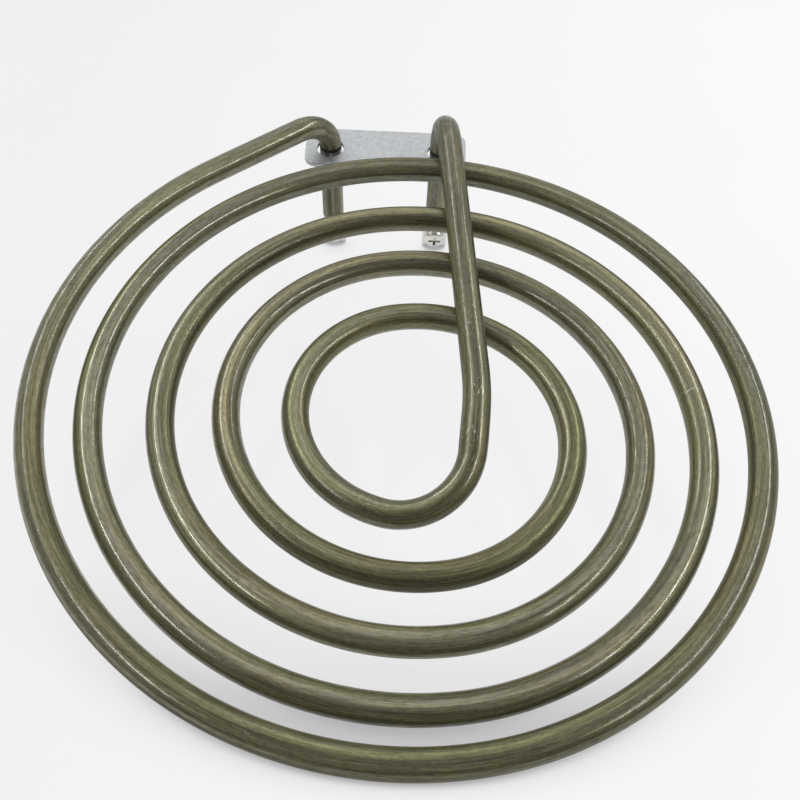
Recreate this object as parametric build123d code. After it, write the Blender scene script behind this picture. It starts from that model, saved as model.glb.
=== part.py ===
from build123d import *
import math
import os

# Tubular heating element: a sheathed tube wound into a flat open spiral, with both ends
# bent down through a bracket plate and a screw terminal on each end.
# Millimetres. +Z is up. The origin is on the underside of the bracket plate, midway between
# the two legs, with X along the line of the legs. The spiral lies on the -Y side.

# ---- driving dimensions: the tube and its winding ----
tube_diameter = 8.0
first_turn_radius = 107.2          # outermost arc, from the end of the run-in
first_turn_angle = 150.7
half_turn_radii = [97.4, 91.2, 79.7, 71.4, 61.8, 53.2, 42.5]   # one for each half turn inwards
inner_turn_radius = 34.0
inner_turn_angle = 155.6
run_in_length = 33.5               # straight stretch from the left bend to the outermost arc
run_in_heading = 219.4             # its direction from +X, seen from above

# ---- the return leg, which climbs out of the spiral and crosses over its turns ----
return_turn_radius = 19.6
return_turn_angle = 99.9
return_turn_tilt = 19.2            # the turn leans up out of the spiral's plane
crossing_gap = 1.5                 # air between the return leg and the turns under it
levelling_radius = 30.0
easing_radius = 93.0               # slight bend to the left as the crossing stretch begins
easing_angle = 8.9

# ---- the legs and the bracket plate ----
left_bend_radius = 13.0            # centre line of the bend down to the left leg
right_bend_radius = 22.0           # the crossing leg comes in higher and bends more gently
plate_thickness = 1.5
plate_width = 19.0
plate_end_margin = 9.0             # from a leg's centre to the end of the plate
plate_corner_radius = 4.5
plate_edge_round = 0.4
plate_below_bend = 0.5             # straight tube between a bend and the plate
hole_clearance = 0.85              # radial, tube to bracket hole
hole_rim_gap = 0.05                # where the tube leans on the back of its hole
left_leg_below_plate = 32.0        # from the plate's underside to the end of the sheath
right_leg_below_plate = 32.0

# ---- inside each end of the sheath ----
sheath_wall = 0.8
end_bore_depth = 22.0
fit_gap = 0.05                     # radial, between pieces packed into the bore
pin_diameter = 3.0
pin_depth = 17.0                   # how far the cold pin reaches into the sheath
coil_wire_diameter = 0.6
coil_tail_length = 8.0             # the first turns of the resistance wire, wound on the pin
coil_overlap = 5.0                 # how much of the tail sits on the pin
bead_collar_length = 2.5
bead_stem_length = 5.0
seal_length = 3.0
pin_showing = 0.5                  # bare pin between the bead and the tab

# ---- the screw terminals ----
tab_width = 9.6
tab_length = 12.5
tab_thickness = 1.0
tab_corner_radius = 1.0
tab_hole_drop = 6.0                # from the tab's top edge to its hole
lap_length = 2.0                   # tab on the flat of the pin
washer_size = 9.6
washer_thickness = 1.0
washer_corner_radius = 0.8
screw_diameter = 4.0
screw_length = 9.0
screw_hole_clearance = 0.15        # radial
screw_head_diameter = 8.0
screw_head_height = 2.6
screw_slot_width = 1.1
screw_slot_length = 4.6
screw_slot_depth = 1.3
nut_width = 7.0
nut_height = 3.2
thread_gap = 0.05                  # radial, shank to nut

# ---- worked out from the above ----
tube_radius = tube_diameter / 2
bore_radius = tube_radius - sheath_wall
spiral_height = plate_thickness + plate_below_bend + left_bend_radius
crossing_height = tube_diameter + crossing_gap
UP = Vector(0, 0, 1)


class Pen:
    """Draws the tube's centre line as straight runs and tangent bends, like a tube bender."""

    def __init__(self, place, heading):
        self.place = place
        self.heading = heading
        self.edges = []

    def straight(self, length):
        end = self.place + self.heading * length
        self.edges.append(Edge.make_line(self.place, end))
        self.place = end

    def bend(self, radius, angle, side):
        """A bend of this centre-line radius towards the unit vector side."""
        turned = math.radians(angle)
        out = self.heading * math.sin(turned) + side * (1 - math.cos(turned))
        end = self.place + out * radius
        self.edges.append(Edge.make_tangent_arc(self.place, self.heading, end))
        self.place = end
        self.heading = self.heading * math.cos(turned) + side * math.sin(turned)

    def left_side(self, tilt=0.0):
        """Unit vector to the left of the heading, leaned up by tilt degrees."""
        flat = UP.cross(self.heading).normalized()
        lean = math.radians(tilt)
        return flat * math.cos(lean) + UP * math.sin(lean)


def draw_centre_line():
    """The whole centre line from the left leg's end to the right leg's end.

    The left leg stands at x = y = 0 here. Returns the wire and the right leg's x.
    """
    run = math.radians(run_in_heading)
    along_run = Vector(math.cos(run), math.sin(run), 0)
    pen = Pen(Vector(0, 0, -left_leg_below_plate), UP)
    pen.straight(left_leg_below_plate + spiral_height - left_bend_radius)
    pen.bend(left_bend_radius, 90, along_run)
    pen.straight(run_in_length)
    pen.bend(first_turn_radius, first_turn_angle, pen.left_side())
    for radius in half_turn_radii:
        pen.bend(radius, 180, pen.left_side())
    pen.bend(inner_turn_radius, inner_turn_angle, pen.left_side())

    # The return turn climbs as it comes round, then the leg levels out above the turns.
    pen.bend(return_turn_radius, return_turn_angle, pen.left_side(return_turn_tilt))
    slope = math.asin(pen.heading.Z)
    level_rise = levelling_radius * (1 - math.cos(slope))
    climb_left = spiral_height + crossing_height - level_rise - pen.place.Z
    if climb_left > 0:
        pen.straight(climb_left / math.sin(slope))
    flat = Vector(pen.heading.X, pen.heading.Y, 0).normalized()
    downwards = flat * math.sin(slope) - UP * math.cos(slope)
    pen.bend(levelling_radius, math.degrees(slope), downwards)
    pen.bend(easing_radius, easing_angle, pen.left_side())

    # The crossing stretch ends where the bend brings the right leg level with the left one.
    pen.straight(-pen.place.Y / pen.heading.Y - right_bend_radius)
    pen.bend(right_bend_radius, 90, -UP)
    pen.straight(pen.place.Z + right_leg_below_plate)
    return Wire(pen.edges), pen.place.X


def ring(outer_radius, inner_radius, bottom, top):
    """An upright round sleeve on the Z axis."""
    body = Pos(0, 0, bottom) * Cylinder(outer_radius, top - bottom, align=ON_BASE)
    return body - Pos(0, 0, bottom) * Cylinder(inner_radius, top - bottom, align=ON_BASE)


def rod(radius, bottom, top):
    return Pos(0, 0, bottom) * Cylinder(radius, top - bottom, align=ON_BASE)


ON_BASE = (Align.CENTER, Align.CENTER, Align.MIN)
centre_line, leg_spacing = draw_centre_line()
leg_places = {"left": -leg_spacing / 2, "right": leg_spacing / 2}
sheath_ends = {"left": -left_leg_below_plate, "right": -right_leg_below_plate}
nodes = {}


def make_sheath():
    """The tube, solid along its heated length, bored out at both ends for the pins."""
    placed_line = Pos(leg_places["left"], 0, 0) * centre_line
    start = placed_line @ 0
    tube = sweep(Plane(start, z_dir=UP) * Circle(tube_radius), path=placed_line)
    for side, x in leg_places.items():
        bottom = sheath_ends[side]
        tube -= Pos(x, 0, 0) * rod(bore_radius, bottom, bottom + end_bore_depth)
    return tube


def make_bracket():
    """The plate that ties the two legs together, with a clearance hole for each."""
    length = leg_spacing + 2 * plate_end_margin
    outline = RectangleRounded(length, plate_width, plate_corner_radius)
    hole_radius = tube_radius + hole_clearance
    hole_y = -(hole_clearance - hole_rim_gap)
    for x in leg_places.values():
        outline -= Pos(x, hole_y) * Circle(hole_radius)
    plate = extrude(outline, plate_thickness)
    rim = plate.faces().sort_by(Axis.Z)[-1].outer_wire().edges()
    return fillet(rim, plate_edge_round)


def make_end(side):
    """The pieces inside and below one end of the sheath."""
    x = leg_places[side]
    mouth = sheath_ends[side]
    deep = mouth + end_bore_depth
    stem_top = mouth + bead_stem_length
    seal_top = stem_top + seal_length
    pin_top = mouth + pin_depth
    pin_radius = pin_diameter / 2
    packed_radius = bore_radius - fit_gap
    pin_hole = pin_radius + fit_gap
    coil_inner = pin_radius + fit_gap
    coil_outer = coil_inner + coil_wire_diameter
    coil_bottom = pin_top - coil_overlap
    coil_top = coil_bottom + coil_tail_length

    bead = ring(tube_radius, pin_hole, mouth - bead_collar_length, mouth)
    bead += ring(packed_radius, pin_hole, mouth, stem_top)
    seal = ring(packed_radius, pin_hole, stem_top, seal_top)
    powder = ring(packed_radius, pin_hole, seal_top, coil_bottom)
    powder += ring(packed_radius, coil_outer + fit_gap, coil_bottom, coil_top)
    powder += rod(packed_radius, coil_top, deep)
    coil = ring(coil_outer, coil_inner, coil_bottom, coil_top)

    tab_top = mouth - bead_collar_length - pin_showing
    pin = rod(pin_radius, tab_top - lap_length, pin_top)
    flat = Pos(0, -pin_radius / 2, tab_top - lap_length / 2)
    pin -= flat * Box(pin_diameter, pin_radius, lap_length)

    screw_z = tab_top - tab_hole_drop
    across = Pos(0, 0, screw_z) * Rot(90, 0, 0)      # local +Z runs forwards, along -Y
    hole_radius = screw_diameter / 2 + screw_hole_clearance
    tab_drop = tab_hole_drop - tab_length / 2
    tab_face = Pos(0, tab_drop) * RectangleRounded(tab_width, tab_length, tab_corner_radius)
    tab = across * extrude(tab_face - Circle(hole_radius), tab_thickness)
    washer_face = RectangleRounded(washer_size, washer_size, washer_corner_radius)
    washer = Pos(0, 0, tab_thickness) * extrude(washer_face - Circle(hole_radius), washer_thickness)
    seat = tab_thickness + washer_thickness
    head = Pos(0, 0, seat) * Cylinder(screw_head_diameter / 2, screw_head_height, align=ON_BASE)
    head = fillet(head.edges().sort_by(Axis.Z)[-1], screw_head_height * 0.6)
    slot = Box(screw_slot_length, screw_slot_width, screw_slot_depth)
    cross = slot + Rot(0, 0, 90) * slot
    head -= Pos(0, 0, seat + screw_head_height - screw_slot_depth / 2) * cross
    shank = Pos(0, 0, seat - screw_length) * Cylinder(screw_diameter / 2, screw_length, align=ON_BASE)
    nut_hole = Circle(screw_diameter / 2 + thread_gap)
    nut_face = RegularPolygon(nut_width / 2, 6, major_radius=False) - nut_hole
    nut = extrude(nut_face, -nut_height)

    place = Pos(x, 0, 0)
    nodes[f"ceramic_bead_{side}"] = place * bead
    nodes[f"end_seal_{side}"] = place * seal
    nodes[f"magnesia_core_{side}"] = place * powder
    nodes[f"resistance_coil_{side}"] = place * coil
    nodes[f"cold_pin_{side}"] = place * pin
    nodes[f"terminal_tab_{side}"] = place * tab
    nodes[f"clamp_washer_{side}"] = place * across * washer
    nodes[f"terminal_screw_{side}"] = place * across * (head + shank)
    nodes[f"terminal_nut_{side}"] = place * across * nut


nodes["heater_sheath"] = make_sheath()
nodes["mounting_bracket"] = make_bracket()
for side in leg_places:
    make_end(side)

os.makedirs("parts", exist_ok=True)
for name, shape in nodes.items():
    export_step(shape, f"parts/{name}.step")
print(f"leg spacing {leg_spacing:.2f} mm, tube length {centre_line.length:.0f} mm")
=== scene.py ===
# %% [markdown]
# # A tubular heating element, dressed
#
# The real thing is a thin steel tube packed with white powder around a hot wire. It is drawn straight,
# wound cold into a flat open spiral, and bent down at both ends through a small zinc-coated plate.
# What makes it look real is not its outline, which is simple, but its skin: the fine lines that the
# drawing die leaves along the tube, the olive-brown tint of its first heating, and rubbed marks at the
# tight bends. The first step loads the measured model, which gives every piece its place.

# %% Load the frame
import math

import bmesh
import bpy
import numpy as np
from mathutils import Matrix, Vector


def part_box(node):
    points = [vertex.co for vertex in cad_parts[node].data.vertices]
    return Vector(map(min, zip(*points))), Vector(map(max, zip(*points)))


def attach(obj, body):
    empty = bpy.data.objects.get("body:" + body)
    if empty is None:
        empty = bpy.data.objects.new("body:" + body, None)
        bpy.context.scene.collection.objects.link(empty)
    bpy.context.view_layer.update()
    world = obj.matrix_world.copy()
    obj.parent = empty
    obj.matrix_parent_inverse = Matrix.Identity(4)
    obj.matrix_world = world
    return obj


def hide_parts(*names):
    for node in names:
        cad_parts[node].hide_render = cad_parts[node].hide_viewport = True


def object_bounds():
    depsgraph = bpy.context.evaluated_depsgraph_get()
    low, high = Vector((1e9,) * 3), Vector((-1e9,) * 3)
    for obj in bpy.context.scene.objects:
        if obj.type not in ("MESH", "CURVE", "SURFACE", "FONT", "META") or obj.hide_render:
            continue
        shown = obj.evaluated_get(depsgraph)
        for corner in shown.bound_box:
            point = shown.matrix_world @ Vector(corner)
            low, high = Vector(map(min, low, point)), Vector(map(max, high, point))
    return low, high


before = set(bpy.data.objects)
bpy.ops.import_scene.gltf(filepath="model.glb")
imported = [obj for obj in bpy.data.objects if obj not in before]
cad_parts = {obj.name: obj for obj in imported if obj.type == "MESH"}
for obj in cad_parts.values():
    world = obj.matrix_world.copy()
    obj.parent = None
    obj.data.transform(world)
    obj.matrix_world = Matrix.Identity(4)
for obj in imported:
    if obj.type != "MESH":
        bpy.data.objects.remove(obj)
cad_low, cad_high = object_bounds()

MM = 0.001                                     # one millimetre, in metres
cad_size = [round((b - a) / MM, 1) for a, b in zip(cad_low, cad_high)]
print("overall size in mm:", cad_size)

# %% [markdown]
# ## The tube's centre line
#
# A tube bender works from a programme: feed so much, bend so much, feed again. The same list makes the
# tube here. Every bend is an arc that leaves in the direction in which the last move ended, so the
# line is smooth, and each whole move is one array operation: a bend is the start point swung about
# its axis by an array of angles. It could also be a Bezier curve with a bevel, but then nothing on its
# surface would know how far along the tube it is, and the drawing lines need exactly that.

# %% The bending bench
STATION_STEP = 1.6                             # mm between stations on gentle stretches
BEND_STEP = math.radians(3.6)                  # the most that one step may turn


def swung(vectors, axis, angles):
    """Each vector turned about a unit axis: its part across the axis swings round, the rest stays."""
    cos, sin = np.cos(angles)[:, None], np.sin(angles)[:, None]
    along = (vectors @ axis)[:, None] * axis
    return vectors * cos + np.cross(axis, vectors) * sin + along * (1 - cos)


class BendingBench:
    """Feeds and bends a tube, and keeps the stations of its centre line as arrays."""

    def __init__(self, place, heading, across):
        self.place, self.heading, self.across = map(np.array, (place, heading, across))
        self.moves = []

    def keep(self, places, headings, acrosses, pull):
        """Stores a move without its last station, which is the next move's first."""
        pulls = np.broadcast_to(pull, places.shape)
        self.moves.append([a[:-1] for a in (places, headings, acrosses, pulls)])
        self.place, self.heading, self.across = places[-1], headings[-1], acrosses[-1]

    def feed(self, length):
        """A straight stretch: the start point plus the heading times an array of distances."""
        gone = np.linspace(0, length, max(2, math.ceil(length / STATION_STEP)) + 1)
        places = self.place + self.heading * gone[:, None]
        still = np.ones_like(places)
        self.keep(places, self.heading * still, self.across * still, np.zeros(3))

    def bend(self, radius, angle, side):
        """An arc towards the unit vector side; the pull is how tightly each station is bent."""
        turn = math.radians(angle)
        steps = math.ceil(max(turn * radius / STATION_STEP, turn / BEND_STEP))
        turned = np.linspace(0, turn, steps + 1)
        cos, sin = np.cos(turned)[:, None], np.sin(turned)[:, None]
        places = self.place + radius * (self.heading * sin + side * (1 - cos))
        headings = self.heading * cos + side * sin
        axis = np.cross(self.heading, side)
        acrosses = swung(np.broadcast_to(self.across, places.shape), axis, turned)
        self.keep(places, headings, acrosses, (side * cos - self.heading * sin) / radius)

    def left_side(self, tilt=0.0):
        """Unit vector to the left of the heading, leaned up by tilt degrees."""
        flat = np.cross(UP, self.heading)
        lean = math.radians(tilt)
        return flat / np.linalg.norm(flat) * math.cos(lean) + UP * math.sin(lean)

    def stations(self):
        """The four arrays of all moves joined, with the very last station added."""
        ends = (self.place, self.heading, self.across, np.zeros(3))
        columns = zip(*self.moves)
        return [np.vstack([*column, end]) for column, end in zip(columns, ends)]


UP = np.array([0.0, 0.0, 1.0])

# %% [markdown]
# The programme runs from the left leg's end to the right leg's end: up the leg, over into the spiral,
# inwards by half turns of falling radius, and out again by a turn that climbs, so that the return leg
# can cross over the turns. Two lengths are not given but solved: the climb ends at the crossing height,
# and the last straight ends where the bend brings the right leg level with the left one.

# %% The bending programme, in millimetres
TUBE_RADIUS = 4.0
LEG_LENGTH = 32.0                              # below the plate's underside
SPIRAL_HEIGHT = 15.0                           # of the centre line
LEFT_BEND_RADIUS, RIGHT_BEND_RADIUS = 13.0, 22.0
RUN_LENGTH, RUN_HEADING = 33.5, 219.4
FIRST_TURN = (107.2, 150.7)                    # radius, angle
HALF_TURNS = [97.4, 91.2, 79.7, 71.4, 61.8, 53.2, 42.5]
INNER_TURN = (34.0, 155.6)
RETURN_TURN, RETURN_TILT = (19.6, 99.9), 19.2
LEVELLING_RADIUS = 30.0
EASING_TURN = (93.0, 8.9)
CROSSING_HEIGHT = 9.5                          # of the return leg above the spiral

# %% Wind the spiral
bench = BendingBench([0.0, 0.0, -LEG_LENGTH], [0.0, 0.0, 1.0], [1.0, 0.0, 0.0])
run = math.radians(RUN_HEADING)
bench.feed(LEG_LENGTH + SPIRAL_HEIGHT - LEFT_BEND_RADIUS)
bench.bend(LEFT_BEND_RADIUS, 90, np.array([math.cos(run), math.sin(run), 0.0]))
bench.feed(RUN_LENGTH)
bench.bend(*FIRST_TURN, bench.left_side())
for radius in HALF_TURNS:
    bench.bend(radius, 180, bench.left_side())
bench.bend(*INNER_TURN, bench.left_side())
bench.bend(*RETURN_TURN, bench.left_side(RETURN_TILT))

# %% Cross over the turns and come down to the right leg
slope = math.asin(bench.heading[2])
level_rise = LEVELLING_RADIUS * (1 - math.cos(slope))
climb = SPIRAL_HEIGHT + CROSSING_HEIGHT - level_rise - bench.place[2]
print("climb left before levelling, in mm:", round(climb, 2))
if climb > 0:
    bench.feed(climb / math.sin(slope))
flat = bench.heading * [1, 1, 0]
flat /= np.linalg.norm(flat)
bench.bend(LEVELLING_RADIUS, math.degrees(slope), flat * math.sin(slope) - UP * math.cos(slope))
bench.bend(*EASING_TURN, bench.left_side())
bench.feed(-bench.place[1] / bench.heading[1] - RIGHT_BEND_RADIUS)
bench.bend(RIGHT_BEND_RADIUS, 90, -UP)
bench.feed(bench.place[2] + LEG_LENGTH)

# %% Collect the stations and measure the tube
places, headings, acrosses, pulls = bench.stations()
places[:, 0] -= places[-1, 0] / 2              # the origin is midway between the legs
steps = np.linalg.norm(np.diff(places, axis=0), axis=1)
along = np.concatenate([[0.0], np.cumsum(steps)])
tube_length = float(along[-1])
print("stations:", len(places), "tube length in mm:", round(tube_length))

# %% [markdown]
# ## The skin of the tube
#
# The surface is a function of two parameters: how far along the tube, and how far round it. At each
# station a ring stands square to the heading. Its radius is the tube's, less a little where the tube
# is bent, because a bent tube goes slightly oval, and less a slow ripple, because a wound tube is
# never quite even and its highlights waver. Both only take away, so the tube stays inside its size.
#
# Each vertex also remembers where it was on the straight tube before winding. That vector has no seam
# round the tube, which a UV map would have, and the materials read it.

# %% Rings along the stations
AROUND = 48                                    # vertices in each ring
OVAL_SHARE = 0.34                              # mm: flattening where radius and bend radius are equal
RIPPLE = 0.03                                  # mm, the deepest that the surface wavers
CALM_LENGTH = 12.0                             # mm from each end over which the ripple sets in


def smoothed(values, width):
    """Each row averaged with its neighbours in a window of the given number of stations."""
    kernel = np.hanning(width + 2)[1:-1]
    kernel /= kernel.sum()
    padded = np.pad(values, ((width // 2, width // 2), (0, 0)), mode="edge")
    return np.stack([np.convolve(c, kernel, mode="valid") for c in padded.T], axis=1)


def ring_directions(headings, acrosses, angles):
    """Unit vectors round each station: across times the cosine plus its normal times the sine."""
    others = np.cross(headings, acrosses)
    cos, sin = np.cos(angles)[None, :, None], np.sin(angles)[None, :, None]
    return acrosses[:, None] * cos + others[:, None] * sin


def ripple(along, angles):
    """A slow unevenness from 0 to 1: four sine waves of unlike lengths that drift round the tube."""
    s, a = along[:, None], angles[None]
    waves = np.sin(s / 3.1 + 2 * a) + np.sin(s / 4.7 - a + 1.0)
    waves += np.sin(s / 7.9 + 3 * a + 2.0) + np.sin(s / 13.7 + a + 4.0)
    return (waves + 4) / 8


TIGHT_BEND = 0.03                              # per mm: only bends tighter than this get rubbed outside

angles = np.linspace(0, 2 * math.pi, AROUND, endpoint=False)
directions = ring_directions(headings, acrosses, angles)
soft_pulls = smoothed(pulls, 7)
toward_centre = np.einsum("saj,sj->sa", directions, soft_pulls)
tightness = np.linalg.norm(soft_pulls, axis=1)[:, None]
flattening = OVAL_SHARE * np.divide(toward_centre**2, tightness, where=tightness > 1e-9,
                                    out=np.zeros_like(toward_centre)) * TUBE_RADIUS
from_end = np.minimum(along, along[-1] - along)
calm = np.clip(from_end / CALM_LENGTH, 0, 1)[:, None]
radii = TUBE_RADIUS - flattening - RIPPLE * ripple(along, angles) * calm
skin = places[:, None] + directions * radii[:, :, None]
straight = np.stack([np.cos(angles) * radii, np.sin(angles) * radii,
                     np.broadcast_to(along[:, None], radii.shape)], axis=2)
outer_side = np.clip(-toward_centre / TIGHT_BEND - 1, 0, 1)
print("deepest flattening in mm:", round(float(flattening.max()), 2))

# %% [markdown]
# The tube is hollow at its ends, where a pin, powder, a seal and a bead go in. So the skin turns round
# the rim, goes down the bore and closes on a point at its bottom. The rim is broken by a narrow slope,
# because a sawn edge that has been cleaned up catches the light.

# %% The mouth of the bore
BORE_RADIUS, BORE_DEPTH, BURR = 3.2, 22.0, 0.15
MERGE_DISTANCE = 0.0005                        # mm


def mouth_rings(end):
    """Rings from the bore's bottom centre out to the mouth's rim, at the first or last station.

    Each ring is the end station moved into the tube by a depth, with a radius of its own.
    """
    inward = headings[end] * (1 if end == 0 else -1)
    depths = np.array([BORE_DEPTH, BORE_DEPTH, BURR, 0.0, 0.0])
    sizes = np.array([0.0, BORE_RADIUS, BORE_RADIUS, BORE_RADIUS + BURR, TUBE_RADIUS - BURR])
    centres = places[end] + inward * depths[:, None]
    rings = centres[:, None] + directions[end] * sizes[:, None, None]
    flat_places = np.stack([np.cos(angles) * sizes[:, None], np.sin(angles) * sizes[:, None],
                            np.full((len(sizes), AROUND), along[end])], axis=2)
    return rings, flat_places


# %% From rings to a mesh
def grid_faces(rows, columns):
    """Quads between neighbouring rings, wrapped round, with their corners in outward order."""
    k = np.arange((rows - 1) * columns).reshape(rows - 1, columns)
    right = np.roll(k, -1, axis=1)
    return np.stack([k, right, right + columns, k + columns], axis=2).reshape(-1, 4)


def new_mesh(name, rings, attributes=None):
    """A closed mesh object from an array of rings in mm, with per-vertex values stored by name."""
    vertices = rings.reshape(-1, 3) * MM
    mesh = bpy.data.meshes.new(name)
    mesh.from_pydata(vertices, [], grid_faces(*rings.shape[:2]))
    for label, values in (attributes or {}).items():
        vector = values.ndim == 3
        data = mesh.attributes.new(label, "FLOAT_VECTOR" if vector else "FLOAT", "POINT").data
        data.foreach_set("vector" if vector else "value", values.astype(np.float32).ravel())
    merge_poles(mesh)
    mesh.shade_smooth()
    piece = bpy.data.objects.new(name, mesh)
    bpy.context.scene.collection.objects.link(piece)
    return piece


def merge_poles(mesh):
    """Makes one vertex of the ring that stands at a single point, and drops its empty faces."""
    work = bmesh.new()
    work.from_mesh(mesh)
    bmesh.ops.remove_doubles(work, verts=work.verts, dist=MERGE_DISTANCE * MM)
    bmesh.ops.recalc_face_normals(work, faces=work.faces)
    work.to_mesh(mesh)
    work.free()


# %% Join the mouths to the skin and put the tube in its place
left_rings, left_straight = mouth_rings(0)
right_rings, right_straight = mouth_rings(-1)
skin[0] += headings[0] * BURR                  # makes room for the rim's slope
skin[-1] -= headings[-1] * BURR
all_rings = np.concatenate([left_rings, skin, right_rings[::-1]])
all_straight = np.concatenate([left_straight, straight, right_straight[::-1]])
no_bend = np.zeros((len(left_rings), AROUND))
all_outer = np.concatenate([no_bend, outer_side, no_bend])
tube = new_mesh("sheath_tube", all_rings, {"on_straight_tube": all_straight, "bend_outside": all_outer})
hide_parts("heater_sheath")
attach(tube, "root")
print("tube faces:", len(tube.data.polygons))
corners = skin.min(axis=(0, 1)), skin.max(axis=(0, 1))
for mine, given in zip(corners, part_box("heater_sheath")):
    print("tube corner in mm:", mine.round(2), "and in the model:", [round(v / MM, 2) for v in given])

# %% [markdown]
# ## Finishes
#
# Each finish is a small graph of nodes. A helper keeps the graphs short: it adds a node, fills its
# sockets and links what it is given, so that a finish reads as a list of what is on the surface.

# %% A helper that builds a finish
MIX_COLOUR_A, MIX_COLOUR_B, MIX_COLOUR_OUT = 6, 7, 2   # the Mix node's sockets for colours, by number


class Finish:
    """A material in the making, with one Principled shader."""

    def __init__(self, name):
        self.material = bpy.data.materials.new(name)
        self.material.use_nodes = True
        self.tree = self.material.node_tree
        self.tree.nodes.clear()
        self.shader = self.add("ShaderNodeBsdfPrincipled")
        output = self.add("ShaderNodeOutputMaterial")
        self.tree.links.new(self.shader.outputs["BSDF"], output.inputs["Surface"])

    def add(self, kind, settings=None, **sockets):
        """A node of that kind; sockets are plain values or other nodes' outputs."""
        node = self.tree.nodes.new(kind)
        for name, value in (settings or {}).items():
            setattr(node, name, value)
        for name, value in sockets.items():
            self.plug(node.inputs[name.replace("_", " ")], value)
        return node

    def plug(self, socket, value):
        """Links another node's output to the socket, or sets a plain value on it."""
        if isinstance(value, bpy.types.NodeSocket):
            self.tree.links.new(value, socket)
        else:
            socket.default_value = value

    def surface(self, **sockets):
        """Sets sockets of the shader itself, by name."""
        for name, value in sockets.items():
            self.plug(self.shader.inputs[name.replace("_", " ")], value)

    def place_on_object(self, scale=(1, 1, 1)):
        """Object coordinates in millimetres, stretched by scale."""
        coordinates = self.add("ShaderNodeTexCoord").outputs["Object"]
        in_mm = tuple(s / MM for s in scale)
        return self.add("ShaderNodeMapping", Vector=coordinates, Scale=in_mm).outputs["Vector"]

    def place_on_tube(self, scale=(1, 1, 1)):
        """Where the point was on the straight tube, in millimetres, stretched by scale."""
        kept = self.add("ShaderNodeAttribute", {"attribute_name": "on_straight_tube"})
        place = kept.outputs["Vector"]
        return self.add("ShaderNodeMapping", Vector=place, Scale=scale).outputs["Vector"]

    def noise(self, place, size, detail=2.0, roughness=0.5):
        """Cloudy values from 0 to 1 whose patches are about size mm across."""
        return self.add("ShaderNodeTexNoise", Vector=place, Scale=1 / size, Detail=detail,
                        Roughness=roughness).outputs["Fac"]

    def ramp(self, value, *stops):
        """A colour for each value: stops are (position, (r, g, b)) pairs, in order."""
        node = self.add("ShaderNodeValToRGB", Fac=value)
        elements = node.color_ramp.elements
        while len(elements) < len(stops):
            elements.new(0.5)
        for element, (position, colour) in zip(elements, stops):
            element.position = position
            element.color = (*colour, 1)
        return node.outputs["Color"]

    def spread(self, value, low, high, to_low=0.0, to_high=1.0):
        """Stretches low..high to to_low..to_high and stops at both ends."""
        node = self.add("ShaderNodeMapRange", Value=value, From_Min=low, From_Max=high,
                        To_Min=to_low, To_Max=to_high)
        return node.outputs["Result"]

    def times(self, a, b):
        """The product of two values."""
        node = self.add("ShaderNodeMath", {"operation": "MULTIPLY"})
        self.plug(node.inputs[0], a)
        self.plug(node.inputs[1], b)
        return node.outputs["Value"]

    def larger(self, a, b):
        """The larger of two values."""
        node = self.add("ShaderNodeMath", {"operation": "MAXIMUM"})
        self.plug(node.inputs[0], a)
        self.plug(node.inputs[1], b)
        return node.outputs["Value"]

    def near(self, value, middle, reach):
        """1 where the value is within reach of the middle, else 0."""
        node = self.add("ShaderNodeMath", {"operation": "COMPARE"})
        for socket, setting in zip(node.inputs, (value, middle, reach)):
            self.plug(socket, setting)
        return node.outputs["Value"]

    def mixed(self, share, a, b, how="MIX"):
        """Colour a with colour b laid over it by share."""
        node = self.add("ShaderNodeMix", {"data_type": "RGBA", "blend_type": how})
        self.plug(node.inputs["Factor"], share)
        self.plug(node.inputs[MIX_COLOUR_A], a)
        self.plug(node.inputs[MIX_COLOUR_B], b)
        return node.outputs[MIX_COLOUR_OUT]

    def bump(self, height, depth, under=None):
        """Bump whose height runs over depth millimetres, on top of another bump."""
        node = self.add("ShaderNodeBump", Height=height, Distance=depth * MM, Strength=1.0)
        if under is not None:
            self.plug(node.inputs["Normal"], under)
        return node.outputs["Normal"]


# %% [markdown]
# ### The sheath's steel
#
# Drawn stainless tube after its first firing: steel under an olive-grey oxide skin, so it is only half
# a metal to the eye. The die leaves lines along the tube, so the noise is squeezed round the tube and
# stretched along it. A slow noise shifts the tint between green and brown, as uneven heating does.
#
# The oxide is smoother than the steel under it. A clear coat over a rougher base shows that: the coat
# draws the thin bright lines, and its weight comes and goes along the tube, so the lines break up. Where
# hands, tools and other tubes have rubbed, the oxide is gone in specks and bare metal shines through:
# outside the tight bends, at a few worn places, and along one scratch that runs across the tube.

# %% Where the tube is worn, and where shade is painted in the plate's holes, in millimetres along it
WORN_PLACES = [(317, 1.2), (2021, 6), (2056, 8), (2076, 4), (2098, 6)]   # middle and reach
SCRATCH_PLACE, SCRATCH_HALF_WIDTH = 1087.6, 0.16
SCRATCH_WANDER = 5.0                           # how far the scratch strays along the tube as it crosses
PLATE_SHADE_MIDDLE, PLATE_SHADE_REACH = 0.6, 2.6  # painted shade in the plate's holes: above the plate's underside, and to each side of that


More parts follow.
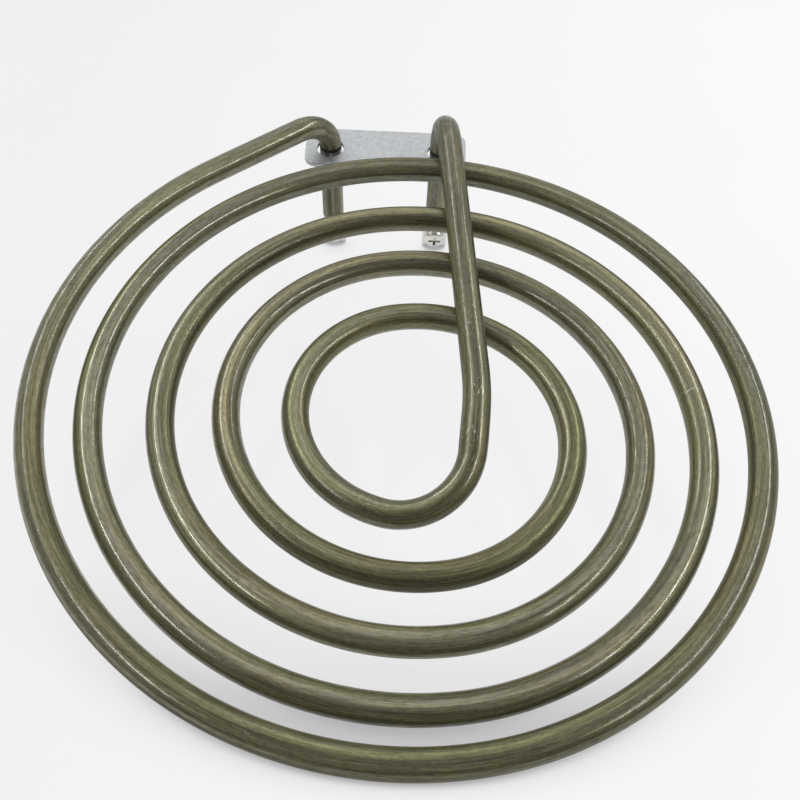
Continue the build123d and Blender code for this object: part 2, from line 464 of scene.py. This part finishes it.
def oxide_colour(steel, bands, lines):
    """Broad bands times a slow tint times the die's lines times a fine speckle."""
    tint = steel.noise(steel.place_on_tube((0.35, 0.35, 0.02)), 1.6, detail=2.0)
    speckle = steel.noise(steel.place_on_tube((1, 1, 0.3)), 0.55, detail=3.0, roughness=0.7)
    base = steel.ramp(bands, (0.30, (0.071, 0.068, 0.035)), (0.50, (0.125, 0.119, 0.063)),
                      (0.70, (0.201, 0.192, 0.106)))
    tinted = steel.ramp(tint, (0.32, (0.93, 1.0, 0.87)), (0.50, (1.0, 1.0, 1.0)),
                        (0.70, (1.06, 0.99, 0.92)))
    lined = steel.ramp(lines, (0.36, (0.62, 0.62, 0.60)), (0.50, (0.97, 0.97, 0.97)),
                       (0.64, (1.38, 1.38, 1.35)))
    speckled = steel.ramp(speckle, (0.36, (0.78, 0.78, 0.77)), (0.64, (1.24, 1.24, 1.22)))
    colour = base
    for layer in (tinted, lined, speckled):
        colour = steel.mixed(1.0, colour, layer, "MULTIPLY")
    return colour


# %% What has been rubbed bare
def rubbed_share(steel, along):
    """0 on oxide and 1 on bare steel: the largest of the stray, bend, worn-place and scratch marks."""
    speck = steel.noise(steel.place_on_tube((1, 1, 0.45)), 0.7, detail=4.0, roughness=0.7)
    outside = steel.add("ShaderNodeAttribute", {"attribute_name": "bend_outside"}).outputs["Fac"]
    rubbed = steel.larger(steel.spread(speck, 0.69, 0.76),
                          steel.times(steel.spread(speck, 0.55, 0.66), outside))
    for middle, reach in WORN_PLACES:
        patch = steel.times(steel.near(along, middle, reach), steel.spread(speck, 0.59, 0.68))
        rubbed = steel.larger(rubbed, patch)

    # A place along the tube that strays with a noise round it makes the scratch a wavy line.
    wander = steel.noise(steel.place_on_tube((1, 1, 0)), 2.2, detail=3.0)
    strayed = steel.add("ShaderNodeMath", {"operation": "MULTIPLY_ADD"})
    for socket, setting in zip(strayed.inputs, (wander, SCRATCH_WANDER, along)):
        steel.plug(socket, setting)
    middle = SCRATCH_PLACE + SCRATCH_WANDER / 2
    scratch = steel.near(strayed.outputs["Value"], middle, SCRATCH_HALF_WIDTH)
    return steel.larger(rubbed, steel.times(scratch, steel.spread(speck, 0.35, 0.50)))


# %% Sheath finish
def sheath_finish():
    steel = Finish("oxidised_drawn_steel")
    bands = steel.noise(steel.place_on_tube((1, 1, 0.012)), 2.0, detail=2.0)
    lines = steel.noise(steel.place_on_tube((1, 1, 0.02)), 0.42, detail=4.0, roughness=0.65)
    grain = steel.noise(steel.place_on_tube((1, 1, 0.35)), 0.30, detail=3.0)
    along = steel.add("ShaderNodeSeparateXYZ", Vector=steel.place_on_tube()).outputs["Z"]

    rubbed = rubbed_share(steel, along)
    colour = oxide_colour(steel, bands, lines)
    colour = steel.mixed(steel.times(rubbed, 0.6), colour, (0.50, 0.48, 0.38, 1))
    # Painted shade: the tube goes near black where it passes through the plate's holes, where the plate
    # keeps the light off it.
    left_middle = LEG_LENGTH + PLATE_SHADE_MIDDLE
    painted_plate_shade = steel.larger(steel.near(along, left_middle, PLATE_SHADE_REACH),
                            steel.near(along, tube_length - left_middle, PLATE_SHADE_REACH))
    colour = steel.mixed(steel.times(painted_plate_shade, 0.9), colour, (0.012, 0.011, 0.008, 1))

    polish = steel.noise(steel.place_on_tube((1, 1, 0.22)), 0.75, detail=4.0, roughness=0.75)
    stretches = steel.noise(steel.place_on_tube((0.7, 0.7, 0.009)), 2.6, detail=2.0)
    gloss = steel.times(steel.spread(polish, 0.36, 0.58, 0.25, 1.0),
                        steel.spread(stretches, 0.40, 0.58, 0.20, 1.0))
    steel.surface(Base_Color=colour, Metallic=steel.spread(rubbed, 0.0, 1.0, 0.5, 0.9),
                  Roughness=steel.spread(bands, 0.3, 0.7, 0.42, 0.30),
                  Specular_IOR_Level=0.3, Specular_Tint=(0.45, 0.44, 0.40, 1),
                  Normal=steel.bump(grain, 0.006, steel.bump(lines, 0.010)))
    steel.surface(Coat_Weight=gloss, Coat_IOR=1.8,
                  Coat_Roughness=steel.spread(stretches, 0.40, 0.58, 0.26, 0.13),
                  Coat_Normal=steel.bump(grain, 0.0018))
    return steel.material


tube.data.materials.clear()
tube.data.materials.append(sheath_finish())

# %% [markdown]
# ### The plate, the terminals and what is inside the ends
#
# The plate is sheet steel dipped in zinc, which dries in faint crystals: a Voronoi pattern gives each
# crystal its own grey. The terminal pieces are plated brass and steel, brighter and smoother. Bead,
# seal, powder and pins mostly hide inside the tube, yet each has its own finish, because the meshes
# may be taken apart and looked at one by one.

# %% Plate and terminal finishes
def zinc_finish():
    zinc = Finish("zinc_coated_sheet")
    place = zinc.place_on_object()
    crystals = zinc.add("ShaderNodeTexVoronoi", Vector=place, Scale=1 / 1.5).outputs["Color"]
    crystal = zinc.add("ShaderNodeSeparateColor", Color=crystals).outputs["Red"]
    cloud = zinc.noise(place, 1.6, detail=6.0, roughness=0.7)
    base = zinc.ramp(cloud, (0.3, (0.36, 0.375, 0.385)), (0.7, (0.52, 0.53, 0.53)))
    facets = zinc.ramp(crystal, (0.0, (0.93, 0.94, 0.95)), (1.0, (1.04, 1.04, 1.04)))
    colour = zinc.mixed(1.0, base, facets, "MULTIPLY")
    pits = zinc.noise(place, 0.5, detail=3.0)
    zinc.surface(Base_Color=colour, Metallic=0.9, Roughness=zinc.spread(cloud, 0.3, 0.7, 0.42, 0.55),
                 Normal=zinc.bump(pits, 0.02))
    return zinc.material


def plated_finish(name, dark, light, rough, line_size):
    """Bright plating: faint cloudiness, and brushed lines of the given size."""
    plated = Finish(name)
    place = plated.place_on_object()
    cloud = plated.noise(place, 1.8, detail=3.0)
    lines = plated.noise(plated.place_on_object((1, 1, 0.08)), line_size, detail=2.0)
    colour = plated.ramp(cloud, (0.3, dark), (0.7, light))
    plated.surface(Base_Color=colour, Metallic=1.0,
                   Roughness=plated.spread(lines, 0.3, 0.7, rough, rough + 0.14),
                   Normal=plated.bump(lines, 0.008))
    return plated.material


def matt_finish(name, dark, light, rough, patch, pit_depth):
    """A dull, non-metal surface: cloudy colour, and pits of the given depth in mm."""
    matt = Finish(name)
    place = matt.place_on_object()
    cloud = matt.noise(place, patch, detail=4.0)
    pits = matt.noise(place, patch / 6, detail=3.0, roughness=0.65)
    matt.surface(Base_Color=matt.ramp(cloud, (0.3, dark), (0.7, light)),
                 Roughness=matt.spread(pits, 0.3, 0.7, rough, rough + 0.1),
                 Normal=matt.bump(pits, pit_depth))
    return matt.material


# %% Give every piece its finish
terminal_plating = plated_finish("tinned_terminal", (0.70, 0.69, 0.66), (0.84, 0.83, 0.80), 0.20, 0.25)
screw_plating = plated_finish("zinc_plated_screw", (0.62, 0.61, 0.57), (0.80, 0.79, 0.74), 0.22, 0.18)
pin_steel = plated_finish("drawn_pin_steel", (0.42, 0.41, 0.39), (0.56, 0.55, 0.52), 0.30, 0.15)
heater_wire = plated_finish("nickel_chrome_wire", (0.36, 0.33, 0.29), (0.50, 0.46, 0.40), 0.38, 0.10)
ceramic = matt_finish("steatite_bead", (0.80, 0.77, 0.69), (0.88, 0.86, 0.80), 0.42, 2.4, 0.02)
magnesia = matt_finish("packed_magnesia", (0.84, 0.82, 0.78), (0.91, 0.90, 0.87), 0.85, 1.2, 0.04)
silicone = matt_finish("silicone_seal", (0.30, 0.08, 0.05), (0.38, 0.12, 0.08), 0.55, 1.5, 0.01)

finishes = {
    "mounting_bracket": zinc_finish(),
    "ceramic_bead": ceramic,
    "end_seal": silicone,
    "magnesia_core": magnesia,
    "resistance_coil": heater_wire,
    "cold_pin": pin_steel,
    "terminal_tab": terminal_plating,
    "clamp_washer": terminal_plating,
    "terminal_screw": screw_plating,
    "terminal_nut": screw_plating,
}
for node_name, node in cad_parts.items():
    kind = node_name.removesuffix("_left").removesuffix("_right")
    if kind in finishes:
        node.data.materials.clear()
        node.data.materials.append(finishes[kind])
print("finished nodes:", sum(1 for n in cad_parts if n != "heater_sheath"))

# %% [markdown]
# ## The table, the light and the camera
#
# The element lies on a white table with its outer turn in front and its terminals behind, so it leans.
# The frame keeps the spiral level, so the table leans instead: one plane through the lowest points of
# the outer turn and of the right terminal. It shows only its upper side, so that a low camera in
# front is not blocked by it.

# %% The table's plane
TABLE_WIDTH, TABLE_REACH, TABLE_LIP = 3.2, 2.6, 0.025      # m; the lip is what lies in front of the turn
front_of_turn = places[places[:, 1].argmin()] * MM
terminal_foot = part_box("terminal_tab_right")[0]
table_front = Vector((0.0, front_of_turn[1], front_of_turn[2] - TUBE_RADIUS * MM))
table_back = Vector((0.0, terminal_foot.y, terminal_foot.z))
table_slope = (table_back - table_front).normalized()


def table_corner(x, reach):
    """The front point moved sideways by x, and up or down the slope by reach."""
    return Vector((x, 0, 0)) + table_front + table_slope * reach


half = TABLE_WIDTH / 2
corners = [table_corner(-half, -TABLE_LIP), table_corner(half, -TABLE_LIP),
           table_corner(half, TABLE_REACH), table_corner(-half, TABLE_REACH)]
table_mesh = bpy.data.meshes.new("white_table")
table_mesh.from_pydata(corners, [], [(0, 1, 2, 3)])
table = bpy.data.objects.new("white_table", table_mesh)
bpy.context.scene.collection.objects.link(table)
print("table slope in degrees:", round(math.degrees(math.asin(-table_slope.z)), 1))

# %% [markdown]
# In a studio a table is often made white by more light on it than on the thing. Here the lamps stay at a
# plain level and the table itself glows: for rays from the camera, and for those that the metal
# mirrors, most of its colour is emitted. A glow has no shadows, so the dark under the tube is put
# back by ambient occlusion, which is low where something is near, and the rest of the card keeps the
# shadows that the lamps cast. The glow also grows from left to right, as a window on the right would.

# %% The table's finish
GLOW_SHARE = 0.84                              # of what the camera and mirrors see of the table
NEAR_REACH = 0.018                             # m, how far off a piece still darkens the table
AO_SAMPLES = 24


def table_glow(card):
    """Emission: darker where something is near, times a slight lightening from left to right."""
    nearness = card.add("ShaderNodeAmbientOcclusion", {"samples": AO_SAMPLES},
                        Distance=NEAR_REACH).outputs["AO"]
    shade = card.ramp(nearness, (0.30, (0.45, 0.45, 0.46)), (0.55, (0.90, 0.90, 0.905)),
                      (0.85, (1.0, 1.0, 1.0)))
    across = card.add("ShaderNodeSeparateXYZ", Vector=card.place_on_object()).outputs["X"]
    light = card.ramp(card.spread(across, -160, 190), (0.0, (0.93, 0.93, 0.935)),
                      (1.0, (1.02, 1.02, 1.02)))
    tone = card.mixed(1.0, shade, light, "MULTIPLY")
    return card.add("ShaderNodeEmission", Color=tone).outputs["Emission"]


def table_finish():
    """White card that keeps its shadows; to the eye it is near white, and clear from below."""
    card = Finish("white_card")
    cloud = card.noise(card.place_on_object(), 60.0, detail=2.0)
    card.surface(Base_Color=card.ramp(cloud, (0.3, (0.50, 0.50, 0.505)), (0.7, (0.52, 0.52, 0.52))),
                 Roughness=0.9, Specular_IOR_Level=0.1)
    rays = card.add("ShaderNodeLightPath").outputs
    seen = card.larger(rays["Is Camera Ray"], rays["Is Glossy Ray"])
    seen = card.larger(seen, rays["Is Transmission Ray"])
    lit = card.add("ShaderNodeMixShader", Fac=card.times(seen, GLOW_SHARE))
    card.plug(lit.inputs[1], card.shader.outputs["BSDF"])
    card.plug(lit.inputs[2], table_glow(card))
    below = card.add("ShaderNodeNewGeometry").outputs["Backfacing"]
    mix = card.add("ShaderNodeMixShader", Fac=below)
    card.plug(mix.inputs[1], lit.outputs["Shader"])
    card.plug(mix.inputs[2], card.add("ShaderNodeBsdfTransparent").outputs["BSDF"])
    output = next(n for n in card.tree.nodes if n.bl_idname == "ShaderNodeOutputMaterial")
    card.plug(output.inputs["Surface"], mix.outputs["Shader"])
    return card.material


table_mesh.materials.append(table_finish())
print("table finish nodes:", len(table_mesh.materials[0].node_tree.nodes))

# %% [markdown]
# The camera stands close and looks down steeply, with a slight roll. A matrix whose columns are the
# camera's right, top and backward directions turns it in one go, with no constraint to keep.

# %% The camera
VIEW_ELEVATION = math.radians(55.91)
VIEW_ROLL = math.radians(2.634)
VIEW_DISTANCE = 285.15 * MM
LOOK_AT = Vector((9.365, -118.94, 15.0)) * MM
level = Vector((1, 0, 0))
forwards = Vector((0, math.cos(VIEW_ELEVATION), -math.sin(VIEW_ELEVATION)))
upright = Vector((0, math.sin(VIEW_ELEVATION), math.cos(VIEW_ELEVATION)))
right = level * math.cos(VIEW_ROLL) + upright * math.sin(VIEW_ROLL)
top = upright * math.cos(VIEW_ROLL) - level * math.sin(VIEW_ROLL)

lens = bpy.data.cameras.new("camera")
lens.sensor_width = 36
lens.lens = 45
lens.clip_start, lens.clip_end = 0.01, 20
camera = bpy.data.objects.new("camera", lens)
camera.matrix_world = Matrix.Translation(LOOK_AT - forwards * VIEW_DISTANCE) @ Matrix(
    (right, top, -forwards)).transposed().to_4x4()
bpy.context.scene.collection.objects.link(camera)
bpy.context.scene.camera = camera
print("camera place in m:", [round(v, 3) for v in camera.matrix_world.translation])

# %% [markdown]
# A tube mirrors a lamp as a line that runs along it, so the lamps' shapes matter more than their power.
# Two narrow strips hang left and right and run from front to back: turns that also run that way mirror
# the whole strip, as one thin line each, and turns that run across catch it only at a point. A broad
# lamp overhead gives soft shadows. The room is brighter above and behind than in front, which puts the
# dark band into the lower side of the metal.

# %% Lamps
STRIP_LENGTH, STRIP_WIDTH, STRIP_POWER = 1.2, 0.05, 2.4    # m, m, W


def lamp(name, place, facing, width, height, power):
    """A rectangular lamp in metres from the middle of the spiral, with its back towards facing."""
    data = bpy.data.lights.new(name, "AREA")
    data.shape, data.size, data.size_y = "RECTANGLE", width, height
    data.energy = power
    piece = bpy.data.objects.new(name, data)
    turn = Vector(facing).to_track_quat("Z", "Y").to_matrix().to_4x4()
    piece.matrix_world = Matrix.Translation(LOOK_AT + Vector(place)) @ turn
    bpy.context.scene.collection.objects.link(piece)


lamp("strip_left", (-0.50, 0.20, 0.50), (-0.7, 0, 0.7), STRIP_LENGTH, STRIP_WIDTH, STRIP_POWER)
lamp("strip_right", (0.50, 0.20, 0.50), (0.7, 0, 0.7), STRIP_LENGTH, STRIP_WIDTH, STRIP_POWER)
lamp("overhead", (-0.15, 0.60, 1.05), (-0.15, 0.60, 1.05), 1.4, 1.4, 4.5)
print("lamps:", len(bpy.data.lights))

# %% The room: a colour that lightens with height, times a strength that grows from front to back
room = bpy.data.worlds.new("room")
bpy.context.scene.world = room
room.use_nodes = True
nodes, links = room.node_tree.nodes, room.node_tree.links
nodes.clear()
direction = nodes.new("ShaderNodeTexCoord").outputs["Generated"]
parts = nodes.new("ShaderNodeSeparateXYZ")
height_colour = nodes.new("ShaderNodeValToRGB")
depth_strength = nodes.new("ShaderNodeMapRange")
backdrop = nodes.new("ShaderNodeBackground")
out = nodes.new("ShaderNodeOutputWorld")
links.new(direction, parts.inputs[0])
links.new(parts.outputs["Z"], height_colour.inputs["Fac"])
links.new(parts.outputs["Y"], depth_strength.inputs["Value"])
links.new(height_colour.outputs["Color"], backdrop.inputs["Color"])
links.new(depth_strength.outputs["Result"], backdrop.inputs["Strength"])
links.new(backdrop.outputs["Background"], out.inputs["Surface"])
height_colour.color_ramp.elements[0].color = (0.38, 0.38, 0.385, 1)
height_colour.color_ramp.elements[1].color = (0.53, 0.53, 0.535, 1)
for name, value in {"From Min": -0.85, "From Max": 0.9, "To Min": 0.3, "To Max": 1.7}.items():
    depth_strength.inputs[name].default_value = value

bpy.context.scene.view_settings.view_transform = "Standard"
